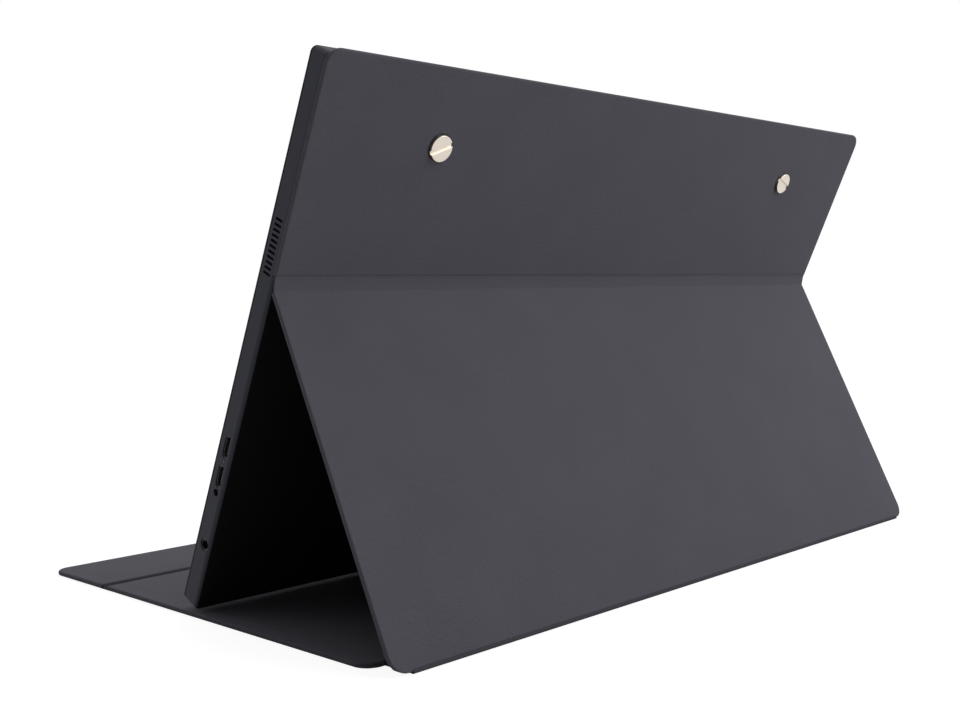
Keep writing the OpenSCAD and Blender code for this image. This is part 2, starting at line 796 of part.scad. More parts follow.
module menu_rocker() {
    plate_x = wall_in + rocker_gap;
    color("#3b3b40") in_monitor() difference() {
        union() {
            along_x(-monitor_w / 2 - key_proud, plate_x + rocker_plate, rocker_up, key_z)
                stadium(rocker_len, key_w);
            along_x(plate_x, plate_x + rocker_plate, rocker_up, key_z)
                stadium(rocker_len + flange_edge, key_w + flange_edge);
            translate([hub_x, bot_y + rocker_up, key_z - hub_h / 2]) cylinder(h = hub_h, d = hub_d);
            for (s = [-1, 1])
                along_x(plate_x, switch_tip - rocker_throw, rocker_up + s * rocker_switch, key_z)
                    circle(d = tip_d);
        }
        translate([hub_x, bot_y + rocker_up, key_z - hub_h / 2 - cut])
            cylinder(h = hub_h + 2 * cut, d = pin_d + 2 * fit);
    }
}

module rocker_pin() {
    color("#c2c4c8") in_monitor() translate([hub_x, bot_y + rocker_up, floor_z])
        cylinder(h = boss_top - floor_z, d = pin_d);
}

module key_board() {
    color("#1f5c35") in_monitor() translate([key_pcb_x, bot_y + key_pcb_low, floor_z])
        cube([key_pcb_t, key_pcb_high - key_pcb_low, key_pcb_h]);
}

module key_switches() {
    color("#d8d9db") in_monitor()
        for (up = [power_up, rocker_up - rocker_switch, rocker_up + rocker_switch]) {
            along_x(switch_tip + tip_len, key_pcb_x, up, key_z) square([switch_w, switch_h], center = true);
            along_x(switch_tip, switch_tip + tip_len, up, key_z) circle(d = tip_d);
        }
}

module key_cable() {
    y = bot_y + key_cable_up - key_cable_w / 2;
    x0 = key_pcb_x + key_pcb_t;
    x1 = pcb_left - plug_edge;
    color("#d9d2c0") in_monitor() {
        translate([x0, y, floor_z]) cube([x1 - x0, key_cable_w, ribbon_t]);
        translate([x1 - ribbon_t, y, floor_z])
            cube([ribbon_t, key_cable_w, ribbon_z + ribbon_t - floor_z]);
        translate([x1 - ribbon_t, y, ribbon_z]) cube([plug_edge + plug_l / 2, key_cable_w, ribbon_t]);
    }
}

// ---- Fixing of the cover ----
module screw_inserts() {
    color("#c9a24a") in_monitor() screw_places() difference() {
        translate([0, 0, floor_z]) cylinder(h = boss_top - floor_z - insert_end, d = insert_d);
        translate([0, 0, floor_z - cut]) cylinder(h = boss_top + 2 * cut, d = thread_d);
    }
}

module cover_screws() {
    seat = skin_t - washer_t;
    color("#cfc9bb") in_monitor() difference() {
        screw_places() {
            translate([0, 0, seat - head_t]) cylinder(h = head_t, d = head_d);
            translate([0, 0, seat - fit]) cylinder(h = boss_top - seat - shank_end, d = shank_d);
        }
        coin_slots(seat - head_t - cut, seat - head_t + coin_slot_d);
    }
}

module screw_washers() {
    color("#1a1a1c") in_monitor() screw_places() difference() {
        translate([0, 0, skin_t - washer_t]) cylinder(h = washer_t, d = washer_d);
        translate([0, 0, -cut]) cylinder(h = 3 * cut, d = thread_d + 2 * thread_gap);
    }
}

module chin_steel_strip() {
    color("#8b8e92") in_monitor()
        translate([-strip_len / 2, bot_y + shell_wall, floor_z]) cube([strip_len, strip_t, strip_h]);
}

// ---- Upper panel, on the monitor's back ----
module upper_skin() {
    color("#43434a") in_monitor() difference() {
        union() {
            cover_skin(fold_above, upper_len, end_r, top_r);
            hinge_tab(cover_w / 2 - end_r, fold_fit, fold_above + skin_t);
        }
        screw_places() translate([0, 0, -cut]) cylinder(h = cut + skin_t + fit, d = head_d + 2 * head_gap);
    }
}

module upper_board() {
    color("#77736a") in_monitor() difference() {
        cover_board(fold_above, upper_len, end_r, top_r);
        screw_places() cylinder(h = cover_t, d = thread_d + 2 * thread_gap);
    }
}

module upper_lining() {
    color("#26262a") in_monitor() difference() {
        cover_lining(fold_above, upper_len);
        screw_places() cylinder(h = cover_t + cut, d = thread_d + 2 * thread_gap);
    }
}

// ---- Leg ----
module leg_skin() {
    color("#494950") in_leg() {
        cover_skin(-leg_len + foot_gutter, -fold_below, foot_r, end_r);
        hinge_tab(cover_w / 2 - end_r, -fold_below - skin_t, 0);
        cloth_roll(cover_w / 2 - end_r, 0);
        hinge_tab(spine_half, -leg_len + 2 * fold_fit, -leg_len + foot_gutter + skin_t);
    }
}

module leg_board() {
    color("#77736a") in_leg() cover_board(-leg_len + foot_gutter, -fold_below, foot_r, end_r);
}

module leg_lining() {
    color("#26262a") in_leg() cover_lining(-leg_len + foot_gutter, -fold_below);
}

// ---- Base, spine and flap, flat on the table ----
module base_skin() {
    color("#3e3e45") {
        cover_skin(base_front_y, base_rear_y, end_r, cover_r);
        hinge_tab(cover_w / 2 - end_r, crease_y, base_front_y + skin_t);
        cloth_roll(cover_w / 2 - end_r, crease_y);
    }
}

module base_board() {
    color("#77736a") difference() {
        cover_board(base_front_y, base_rear_y, end_r, cover_r);
        for (i = [-1.5 : 1.5]) translate([i * magnet_pitch, magnet_y, magnet_z])
            cylinder(h = board_t, d = magnet_d + 2 * fit);
    }
}

module base_magnets() {
    color("#b4b7ba") for (i = [-1.5 : 1.5]) translate([i * magnet_pitch, magnet_y, magnet_z])
        cylinder(h = magnet_t, d = magnet_d);
}

module base_lining() {
    color("#2b2b30") cover_lining(base_front_y, base_rear_y);
}

module spine_strip() {
    color("#34343a") {
        translate([-spine_half, base_rear_y, 0])
            cube([2 * spine_half, foot_y - base_rear_y, hinge_t]);
        cloth_roll(spine_half, foot_y);
    }
}

module flap_skin() {
    color("#4a4a52") {
        cover_skin(flap_front_y, flap_rear_y, cover_r, end_r);
        hinge_tab(cover_w / 2 - end_r, flap_rear_y - skin_t, crease_y - crease_fit);
    }
}

module flap_board() {
    color("#77736a") difference() {
        cover_board(flap_front_y, flap_rear_y, cover_r, end_r);
        for (i = [-1.5 : 1.5]) translate([i * magnet_pitch, (flap_front_y + flap_rear_y) / 2, magnet_z])
            cylinder(h = board_t, d = magnet_d + 2 * fit);
    }
}

module flap_magnets() {
    color("#b4b7ba") for (i = [-1.5 : 1.5])
        translate([i * magnet_pitch, (flap_front_y + flap_rear_y) / 2, magnet_z])
            cylinder(h = magnet_t, d = magnet_d);
}

module flap_lining() {
    color("#2b2b30") cover_lining(flap_front_y, flap_rear_y);
}

rear_shell();
front_bezel();
bezel_gasket();
lcd_cell();
optical_films();
light_guide();
reflector_sheet();
backlight_bar();
panel_tray();
driver_board();
driver_flexes();
video_cable();
controller_board();
controller_chips();
board_screws();
usb_c_shells();
usb_c_tongues();
dc_jack();
audio_jack();
status_light();
speaker_boxes();
speaker_cones();
speaker_magnets();
speaker_mesh();
power_key();
menu_rocker();
rocker_pin();
key_board();
key_switches();
key_cable();
screw_inserts();
cover_screws();
screw_washers();
chin_steel_strip();
upper_skin();
upper_board();
upper_lining();
leg_skin();
leg_board();
leg_lining();
base_skin();
base_board();
base_lining();
flap_skin();
flap_board();
flap_lining();
spine_strip();
base_magnets();
flap_magnets();
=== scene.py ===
from math import acos, copysign, cos, pi, radians, sin

import bmesh
import bpy
from mathutils import Matrix, Vector


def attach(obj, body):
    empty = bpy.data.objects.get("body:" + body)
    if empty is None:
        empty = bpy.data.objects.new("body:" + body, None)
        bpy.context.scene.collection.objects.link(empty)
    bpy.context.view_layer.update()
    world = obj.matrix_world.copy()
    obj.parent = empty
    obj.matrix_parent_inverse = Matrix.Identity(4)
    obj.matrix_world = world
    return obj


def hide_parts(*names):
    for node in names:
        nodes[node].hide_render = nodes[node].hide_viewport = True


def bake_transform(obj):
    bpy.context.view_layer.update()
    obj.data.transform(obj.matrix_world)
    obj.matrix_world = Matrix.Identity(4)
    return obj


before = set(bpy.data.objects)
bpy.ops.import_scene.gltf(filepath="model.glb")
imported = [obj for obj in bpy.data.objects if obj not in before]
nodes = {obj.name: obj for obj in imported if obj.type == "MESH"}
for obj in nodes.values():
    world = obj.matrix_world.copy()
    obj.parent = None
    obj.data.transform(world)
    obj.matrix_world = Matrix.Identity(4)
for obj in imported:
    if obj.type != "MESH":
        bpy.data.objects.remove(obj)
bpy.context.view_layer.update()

# ---- Rear case ----
# The back and side walls of the monitor are one moulding in finely textured plastic, dark grey.
# The back faces into the shadow under the cover, and there the plastic is painted near black as
# painted shade. The mould rounds its long edges, and the slots, sockets and keys break through the walls.
mm = 0.001
monitor_w, monitor_h, monitor_t = 353, 216.6, 9
upper_len, spine_len, base_len, flap_len = 84, 13, 171, 46.7
cover_over, leg_over, slide_gap = 2, 1.85, 0.25
cover_t, hinge_t = 2.0, 0.8
tilt = radians(24.7)
lower_len = monitor_h + cover_over - upper_len
leg_len = lower_len + leg_over
pivot_in = cover_t - hinge_t / 2
fold_z = cover_t + slide_gap + lower_len * cos(tilt) - pivot_in * sin(tilt)
leg_tilt = acos((fold_z - hinge_t / 2) / leg_len)
foot_y = (spine_len + base_len + flap_len - hinge_t / 2) / 2
fold_y = foot_y - leg_len * sin(leg_tilt)


def leaning(turn):
    """Frame of a panel that hinges on the back fold: y runs up from the fold, z in from the cloth."""
    return (Matrix.Scale(mm, 4) @ Matrix.Translation((0, fold_y, fold_z))
            @ Matrix.Rotation(pi / 2 + turn, 4, "X") @ Matrix.Translation((0, 0, -hinge_t / 2)))


monitor_frame, leg_frame, table_frame = leaning(-tilt), leaning(leg_tilt), Matrix.Scale(mm, 4)


def value(tree, operation, *terms):
    """A Math node, fed by sockets or plain numbers."""
    node = tree.nodes.new("ShaderNodeMath")
    node.operation = operation
    for socket, term in zip(node.inputs, terms):
        if isinstance(term, (int, float)):
            socket.default_value = term
        else:
            tree.links.new(term, socket)
    return node.outputs[0]


def effect(name):
    """An empty texture group, which takes a place and a look and gives a colour and a height."""
    group = bpy.data.node_groups.new(name, "ShaderNodeTree")
    for way, label, kind in (("INPUT", "Vector", "Vector"), ("INPUT", "Color", "Color"),
                             ("INPUT", "Grain size", "Float"), ("INPUT", "Contrast", "Float"),
                             ("OUTPUT", "Color", "Color"), ("OUTPUT", "Height", "Float")):
        group.interface.new_socket(label, in_out=way, socket_type="NodeSocket" + kind)
    return group, group.nodes.new("NodeGroupInput").outputs, group.nodes.new("NodeGroupOutput").inputs


def tint(group, amount, takes, gives):
    """Gives the group's colour, darker by its contrast where amount is 0 and lighter where it is 1."""
    span = group.nodes.new("ShaderNodeMapRange")
    group.links.new(amount, span.inputs["Value"])
    group.links.new(value(group, "SUBTRACT", 1.0, takes["Contrast"]), span.inputs["To Min"])
    group.links.new(value(group, "ADD", 1.0, takes["Contrast"]), span.inputs["To Max"])
    scaled = group.nodes.new("ShaderNodeVectorMath")
    scaled.operation = "SCALE"
    group.links.new(takes["Color"], scaled.inputs[0])
    group.links.new(span.outputs[0], scaled.inputs["Scale"])
    group.links.new(scaled.outputs[0], gives["Color"])


# Fine moulded grain: a close speckle with a slow unevenness under it
speck_share = 0.6
grain, grain_in, grain_out = effect("Moulded grain")
speck = grain.nodes.new("ShaderNodeTexNoise")
speck.inputs["Detail"].default_value = 3
grain.links.new(grain_in["Vector"], speck.inputs["Vector"])
grain.links.new(value(grain, "DIVIDE", 1.0, grain_in["Grain size"]), speck.inputs["Scale"])
cloud = grain.nodes.new("ShaderNodeTexNoise")
cloud.inputs["Scale"].default_value = 45
grain.links.new(grain_in["Vector"], cloud.inputs["Vector"])
both = value(grain, "ADD", value(grain, "MULTIPLY", speck.outputs["Fac"], speck_share),
             value(grain, "MULTIPLY", cloud.outputs["Fac"], 1 - speck_share))
tint(grain, both, grain_in, grain_out)
grain.links.new(speck.outputs["Fac"], grain_out["Height"])


def finish(name, colour, roughness, texture=grain, size=0.0005, contrast=0.1, depth=0.00003,
           uv=False, **sockets):
    """A material whose colour and bump come from a texture group, and whose gloss is plain."""
    made = bpy.data.materials.new(name)
    made.use_nodes = True
    made.diffuse_color = (*colour, 1)
    tree = made.node_tree
    shader = tree.nodes["Principled BSDF"]
    shader.inputs["Roughness"].default_value = roughness
    for label, amount in sockets.items():
        shader.inputs[label.replace("_", " ")].default_value = amount
    place = tree.nodes.new("ShaderNodeTexCoord").outputs["UV" if uv else "Object"]
    surface = tree.nodes.new("ShaderNodeGroup")
    surface.node_tree = texture
    tree.links.new(place, surface.inputs["Vector"])
    for label, amount in (("Color", (*colour, 1)), ("Grain size", size), ("Contrast", contrast)):
        surface.inputs[label].default_value = amount
    tree.links.new(surface.outputs["Color"], shader.inputs["Base Color"])
    bump = tree.nodes.new("ShaderNodeBump")
    bump.inputs["Distance"].default_value = depth
    tree.links.new(surface.outputs["Height"], bump.inputs["Height"])
    tree.links.new(bump.outputs["Normal"], shader.inputs["Normal"])
    return made


def paint(material, *names):
    """Gives CAD nodes that stay as they are their material."""
    for name in names:
        slots = nodes[name].data.materials
        slots.clear()
        slots.append(material)


def into_scene(bm, name, material, body, replaced=(), soft=35):
    """Makes a piece of a mesh that is in place, with edges of more than soft degrees kept crisp."""
    for face in bm.faces:
        face.smooth = True
    for edge in bm.edges:
        if len(edge.link_faces) == 2 and edge.calc_face_angle() > radians(soft):
            edge.smooth = False
    mesh = bpy.data.meshes.new(name)
    bm.to_mesh(mesh)
    bm.free()
    mesh.materials.append(material)
    piece = bpy.data.objects.new(name, mesh)
    bpy.context.scene.collection.objects.link(piece)
    even = piece.modifiers.new("Even shading", "WEIGHTED_NORMAL")
    even.keep_sharp = True
    if replaced:
        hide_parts(*replaced)
    if body:
        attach(piece, body)
    return piece


weld, slack, flat_angle, edge_angle = 0.002, 0.02, radians(1), radians(20)


def copy_of(node, laid_in):
    """A merged copy of a CAD node's mesh, in millimetres in the frame that it was laid out in."""
    bm = bmesh.new()
    bm.from_mesh(nodes[node].data)
    bmesh.ops.transform(bm, matrix=laid_in.inverted(), verts=bm.verts)
    bmesh.ops.remove_doubles(bm, verts=bm.verts, dist=weld)
    bmesh.ops.dissolve_limit(bm, angle_limit=flat_angle, verts=bm.verts, edges=bm.edges)
    return bm


def soften(bm, picked, radius, steps=3):
    """Rounds the real edges that picked(a, b) says yes to."""
    edges = [e for e in bm.edges if len(e.link_faces) == 2 and e.calc_face_angle() > edge_angle
             and picked(e.verts[0].co, e.verts[1].co)]
    bmesh.ops.bevel(bm, geom=edges, offset=radius, offset_type="OFFSET", affect="EDGES", segments=steps,
                    profile=0.5, material=-1, clamp_overlap=False)


def level(height):
    """Picks the edges that lie at one height of a frame."""
    return lambda a, b: abs(a.z - height) < slack and abs(b.z - height) < slack


case_plastic = finish("case_plastic", (0.027, 0.0285, 0.04), 0.6, size=0.00035, contrast=0.14,
                      Specular_IOR_Level=0.2)
# The same plastic painted near black, as painted shade for the back under the cover
case_back_shade = finish("case_back_shade", (0.003, 0.003, 0.0035), 0.7, size=0.00035, contrast=0.14,
                   Specular_IOR_Level=0.12)
case = copy_of("rear_shell", monitor_frame)
back_z, front_z = cover_t, cover_t + monitor_t
top_y, bottom_y = upper_len - cover_over, -lower_len
rim_reach, rim_round, rim_steps, facing_back = 3, 1.25, 5, -0.98


def near_rim(p):
    """Whether a point of the case lies close to its outline."""
    return min(monitor_w / 2 - abs(p.x), top_y - p.y, p.y - bottom_y) < rim_reach


soften(case, lambda a, b: level(back_z)(a, b) and near_rim(a) and near_rim(b), rim_round, rim_steps)
# Faces turned to the back get the near-black copy: painted shade
for face in case.faces:
    face.material_index = int(face.normal.z < facing_back)
bmesh.ops.transform(case, matrix=monitor_frame, verts=case.verts)
rear_case = into_scene(case, "rear_case", case_plastic, "monitor", ["rear_shell"])
rear_case.data.materials.append(case_back_shade)

# ---- Front frame ----
# A black plastic frame clipped into the case, with a fine groove round it. Its outer and inner
# edges are broken, and it carries a thin foam gasket that the glass cell presses against.
frame_plastic = finish("frame_plastic", (0.006, 0.006, 0.0065), 0.45, size=0.0004, contrast=0.12,
                       Specular_IOR_Level=0.1)
frame_round = 0.3
front_frame = copy_of("front_bezel", monitor_frame)
soften(front_frame, level(front_z), frame_round)
bmesh.ops.transform(front_frame, matrix=monitor_frame, verts=front_frame.verts)
into_scene(front_frame, "front_frame", frame_plastic, "monitor", ["front_bezel"])
paint(finish("gasket_foam", (0.012, 0.012, 0.013), 0.95, size=0.0003, contrast=0.4, depth=0.0001),
      "bezel_gasket")

# ---- Display module ----
# A stack in a folded steel tray: matte glass cell, diffusing films, clear light guide with its
# strip of lamps, and a white reflector. The screen is switched off, so its glass is near black.
paint(finish("matte_glass", (0.005, 0.006, 0.008), 0.34, size=0.00012, contrast=0.3, depth=0.000004,
             Specular_IOR_Level=0.35), "lcd_cell")
paint(finish("white_film", (0.82, 0.83, 0.83), 0.5, size=0.0008, contrast=0.02), "optical_films",
      "reflector_sheet")
paint(finish("clear_guide", (0.86, 0.9, 0.9), 0.12, size=0.001, contrast=0.03, depth=0.00005,
             Transmission_Weight=0.85, IOR=1.49), "light_guide")
paint(finish("lamp_strip", (0.85, 0.8, 0.5), 0.4, size=0.002, contrast=0.15), "backlight_bar")

# Brushed sheet: streaks drawn out along the sheet's long side
brushed, brushed_in, brushed_out = effect("Brushed sheet")
drawn = brushed.nodes.new("ShaderNodeMapping")
drawn.inputs["Scale"].default_value = (0.05, 1, 1)
brushed.links.new(brushed_in["Vector"], drawn.inputs["Vector"])
streak = brushed.nodes.new("ShaderNodeTexNoise")
streak.inputs["Detail"].default_value = 4
brushed.links.new(drawn.outputs[0], streak.inputs["Vector"])
brushed.links.new(value(brushed, "DIVIDE", 1.0, brushed_in["Grain size"]), streak.inputs["Scale"])
tint(brushed, streak.outputs["Fac"], brushed_in, brushed_out)
brushed.links.new(streak.outputs["Fac"], brushed_out["Height"])
paint(finish("sheet_steel", (0.55, 0.56, 0.57), 0.34, texture=brushed, depth=0.00001, Metallic=1.0),
      "panel_tray", "chin_steel_strip", "board_screws", "rocker_pin")

# ---- Boards and flat cables ----
# Green circuit boards lie on the case's floor on short posts, and flat film cables with fine
# conductors join them to the glass, to each other and to the key board.
track_edge = 0.2
tracks, tracks_in, tracks_out = effect("Fine tracks")
lanes = tracks.nodes.new("ShaderNodeSeparateXYZ")
tracks.links.new(tracks_in["Vector"], lanes.inputs[0])
ripple = value(tracks, "SINE", value(tracks, "DIVIDE", lanes.outputs["X"], tracks_in["Grain size"]))
patch = tracks.nodes.new("ShaderNodeTexVoronoi")
patch.inputs["Scale"].default_value = 160
tracks.links.new(tracks_in["Vector"], patch.inputs["Vector"])
track = value(tracks, "GREATER_THAN", ripple, track_edge)
laid = value(tracks, "MULTIPLY", track, patch.outputs["Distance"])
tint(tracks, laid, tracks_in, tracks_out)
tracks.links.new(laid, tracks_out["Height"])
paint(finish("circuit_board", (0.02, 0.11, 0.05), 0.35, texture=tracks, size=0.0003, contrast=0.4),
      "driver_board", "controller_board", "key_board")
paint(finish("flat_cable", (0.7, 0.62, 0.45), 0.4, texture=tracks, size=0.0001, contrast=0.3),
      "video_cable", "key_cable")
paint(finish("amber_film", (0.5, 0.25, 0.06), 0.3, texture=tracks, size=0.0001, contrast=0.3),
      "driver_flexes")
paint(finish("moulded_chip", (0.02, 0.02, 0.022), 0.6, size=0.0002, contrast=0.3), "controller_chips")

# ---- Sockets ----
# Two USB-C sockets, a small power socket and a headphone socket stand on the controller board
# behind holes in the side wall, with a light pipe between the first two.
paint(finish("socket_steel", (0.15, 0.15, 0.155), 0.45, texture=brushed, depth=0.000005, Metallic=1.0),
      "usb_c_shells")
paint(finish("socket_black", (0.012, 0.012, 0.013), 0.35, size=0.0003, contrast=0.2), "usb_c_tongues",
      "dc_jack", "audio_jack")
paint(finish("light_pipe", (0.05, 0.055, 0.06), 0.3, contrast=0.05, Transmission_Weight=0.3),
      "status_light")

# ---- Speakers ----
# A sealed box with a small flat cone fires through the slots in each side wall, which a black
# cloth closes against dust.
paint(finish("speaker_box", (0.015, 0.015, 0.016), 0.5), "speaker_boxes")
paint(finish("speaker_cone", (0.05, 0.05, 0.055), 0.6, size=0.0003), "speaker_cones")
paint(finish("plated_magnet", (0.5, 0.5, 0.52), 0.3, texture=brushed, Metallic=1.0), "speaker_magnets",
      "base_magnets", "flap_magnets")
paint(finish("dust_cloth", (0.008, 0.008, 0.009), 0.9, size=0.0002, contrast=0.5, depth=0.00008),
      "speaker_mesh")

# ---- Keys ----
# A power key and a menu rocker in the case's plastic stand a little out of the other side wall
# and press small switches on a board of their own.
key_stands, key_round = 0.4, 0.2
key_face = -monitor_w / 2 - key_stands
for node in ("power_key", "menu_rocker"):
    key = copy_of(node, monitor_frame)
    soften(key, lambda a, b: abs(a.x - key_face) < slack and abs(b.x - key_face) < slack, key_round)
    bmesh.ops.transform(key, matrix=monitor_frame, verts=key.verts)
    into_scene(key, node + "_cap", case_plastic, node, [node])
paint(finish("switch_white", (0.7, 0.7, 0.71), 0.4), "key_switches")

# ---- Cover screws ----
# Two nickel-plated coin screws hold the cover to the back, each through a washer and into a brass
# insert. The head is turned, so its face shows fine rings, and its rim is broken.
turned, turned_in, turned_out = effect("Turned rings")
rings = turned.nodes.new("ShaderNodeVectorMath")
rings.operation = "LENGTH"
turned.links.new(turned_in["Vector"], rings.inputs[0])
ring = value(turned, "SINE", value(turned, "DIVIDE", rings.outputs["Value"], turned_in["Grain size"]))
ridge = value(turned, "MULTIPLY_ADD", ring, 0.5, 0.5)
tint(turned, ridge, turned_in, turned_out)
turned.links.new(ridge, turned_out["Height"])
nickel = finish("nickel_plate", (0.66, 0.59, 0.52), 0.28, texture=turned, size=0.00008, contrast=0.03,
                depth=0.000002, uv=True, Metallic=1.0)
screw_x, screw_y, head_face, head_round = 118.5, 54.8, -1.15, 0.22
screws = copy_of("cover_screws", monitor_frame)
soften(screws, level(head_face), head_round)
rings_uv = screws.loops.layers.uv.new("rings")
for face in screws.faces:
    for loop in face.loops:
        at = loop.vert.co
        loop[rings_uv].uv = ((abs(at.x) - screw_x) * mm, (at.y - screw_y) * mm)
bmesh.ops.transform(screws, matrix=monitor_frame, verts=screws.verts)
into_scene(screws, "coin_screws", nickel, "monitor", ["cover_screws"])
paint(finish("black_washer", (0.012, 0.012, 0.013), 0.45, texture=brushed, Metallic=0.6),
      "screw_washers")
paint(finish("brass_insert", (0.75, 0.56, 0.25), 0.3, texture=brushed, Metallic=1.0), "screw_inserts")

# ---- Cover panels ----
# Stiff boards wrapped in a charcoal woven cloth with a faint violet cast. The cloth turns in over
# each board's edge, and a smoother lining is glued inside the turned-in hem.
crown_share, slub_share, shade_share, slub_height = 0.45, 0.35, 0.3, 0.5
weave, weave_in, weave_out = effect("Plain weave")
threads = weave.nodes.new("ShaderNodeSeparateXYZ")
weave.links.new(weave_in["Vector"], threads.inputs[0])
turns = value(weave, "DIVIDE", pi, weave_in["Grain size"])
across = value(weave, "COSINE", value(weave, "MULTIPLY", threads.outputs["X"], turns))
along = value(weave, "COSINE", value(weave, "MULTIPLY", threads.outputs["Y"], turns))
warp = value(weave, "ADD", value(weave, "ABSOLUTE", across),
             value(weave, "MULTIPLY", along, value(weave, "SIGN", across)))
weft = value(weave, "SUBTRACT", value(weave, "ABSOLUTE", along),
             value(weave, "MULTIPLY", across, value(weave, "SIGN", along)))
crown = value(weave, "MULTIPLY", value(weave, "MAXIMUM", warp, weft), 0.5)
slub = weave.nodes.new("ShaderNodeTexNoise")
slub.inputs["Scale"].default_value = 700
slub.inputs["Detail"].default_value = 3
weave.links.new(weave_in["Vector"], slub.inputs["Vector"])
shade = weave.nodes.new("ShaderNodeTexNoise")
shade.inputs["Scale"].default_value = 30
weave.links.new(weave_in["Vector"], shade.inputs["Vector"])
tone = value(weave, "ADD", value(weave, "MULTIPLY", crown, crown_share),
             value(weave, "ADD", value(weave, "MULTIPLY", slub.outputs["Fac"], slub_share),
                   value(weave, "MULTIPLY", shade.outputs["Fac"], shade_share)))
tint(weave, tone, weave_in, weave_out)
weave.links.new(value(weave, "ADD", crown, value(weave, "MULTIPLY", slub.outputs["Fac"], slub_height)),
                weave_out["Height"])
pale_violet = (0.7, 0.7, 0.85, 1)
cloth = finish("charcoal_cloth", (0.08, 0.078, 0.094), 0.8, texture=weave, size=0.00055, contrast=0.3,
               depth=0.00008, uv=True, Specular_IOR_Level=0.06, Sheen_Weight=0.06, Sheen_Roughness=0.5,
               Sheen_Tint=pale_violet)
linings, lining_round = ("upper_lining", "leg_lining", "base_lining", "flap_lining"), 0.15
paint(finish("lining", (0.087, 0.085, 0.098), 0.85, size=0.0002, contrast=0.15, depth=0.00004,
             Specular_IOR_Level=0.05, Sheen_Weight=0.05, Sheen_Roughness=0.6, Sheen_Tint=pale_violet),
      *linings)
for node in linings:
    pressed = nodes[node].modifiers.new("Pressed edge", "BEVEL")
    pressed.width, pressed.segments, pressed.limit_method = lining_round * mm, 2, "ANGLE"
paint(finish("grey_board", (0.3, 0.28, 0.25), 0.9, size=0.0006, contrast=0.25, depth=0.00006),
      "upper_board", "leg_board", "base_board", "flap_board")


def lay_weave(bm):
    """Flat cloth coordinates in metres: across the panel, and along it with its edges rolled out."""
    flat = bm.loops.layers.uv.new("weave")
    for face in bm.faces:
        for loop in face.loops:
            at = loop.vert.co
            loop[flat].uv = ((at.x + face.normal.x * at.z) * mm, (at.y + face.normal.y * at.z) * mm)


cloth_round, cloth_steps, fold_corner = 0.8, 4, 0.51
edge_reach, off_middle = 2.2, 0.1


def at_face(p):
    """Whether a point lies in a panel's outer or inner face."""
    return min(p.z, cover_t - p.z) < slack


def wrapped_panel(name, node, laid_in, body, cuts, shape=None):
    """A cloth-covered board: the CAD skin without its hinge tabs, with soft edges all round."""
    bm = copy_of(node, laid_in)
    for height, way in cuts:
        cut = bmesh.ops.bisect_plane(bm, geom=bm.verts[:] + bm.edges[:] + bm.faces[:], dist=0.001,
                                     plane_co=(0, height, 0), plane_no=(0, way, 0), clear_outer=True)
        edges = [part for part in cut["geom_cut"] if isinstance(part, bmesh.types.BMEdge)]
        bmesh.ops.holes_fill(bm, edges=[e for e in edges if len(e.link_faces) == 1], sides=0)
    bmesh.ops.dissolve_limit(bm, angle_limit=flat_angle, verts=bm.verts, edges=bm.edges)
    if shape:
        shape(bm)
    low = min(v.co.y for v in bm.verts)
    high = max(v.co.y for v in bm.verts)
    half = max(v.co.x for v in bm.verts)
    for height, _ in cuts:
        for v in bm.verts:
            from_corner = max(half - abs(v.co.x), abs(v.co.y - height))
            if at_face(v.co) and from_corner < fold_corner:
                v.co.x, v.co.y = copysign(half, v.co.x), height
    bmesh.ops.remove_doubles(bm, verts=bm.verts, dist=weld)

    def at_edge(p):
        """Whether a point lies close to the panel's outline, off its middle line."""
        return min(half - abs(p.x), p.y - low, high - p.y) < edge_reach and abs(p.x) > off_middle

    for face_z in (0, cover_t):
        soften(bm, lambda a, b: level(face_z)(a, b) and at_edge(a) and at_edge(b),
               cloth_round, cloth_steps)
    lay_weave(bm)
    bmesh.ops.transform(bm, matrix=laid_in, verts=bm.verts)
    into_scene(bm, name, cloth, body, [node])


fold_above, fold_below, foot_gutter, flap_gutter = 4.6, 1.3, 1.8, 2.2
base_rear_y = foot_y - spine_len
crease_y = base_rear_y - base_len
wrapped_panel("upper_panel", "upper_skin", monitor_frame, "monitor", [(fold_above, -1)])
foot_r, foot_end, foot_pressed = 6.5, 0.05, 1.2


def reach_foot(bm):
    """Brings the leg's lower end down to the foot fold, its inner edge pressed back to clear the strip."""
    for v in bm.verts:
        up = v.co.y + leg_len - foot_gutter
        if up < foot_r + 0.1 and at_face(v.co):
            v.co.y += foot_end - foot_gutter
            if v.co.z > cover_t / 2:
                v.co.y += foot_pressed * max(0, 1 - up / foot_r)


wrapped_panel("leg_panel", "leg_skin", leg_frame, "leg",
              [(-fold_below, 1), (-leg_len + foot_gutter, -1)], reach_foot)
wrapped_panel("base_panel", "base_skin", table_frame, "base", [(crease_y + flap_gutter, -1)])
wrapped_panel("flap_panel", "flap_skin", table_frame, "flap", [(crease_y - flap_gutter, 1)])

# ---- Hinge cloth ----
# At each fold the cloth and the lining run on without a board, glued to each other and tucked under
# the boards on both sides. At the crease and under the foot the strip's cloth is painted darker,
# as painted shade in the fold.
fold_shade_cloth = finish("fold_shade_cloth", (0.052, 0.05, 0.061), 0.8, texture=weave, size=0.00055,
                       contrast=0.3, depth=0.00008, uv=True, Specular_IOR_Level=0.05)
end_round = 0.45


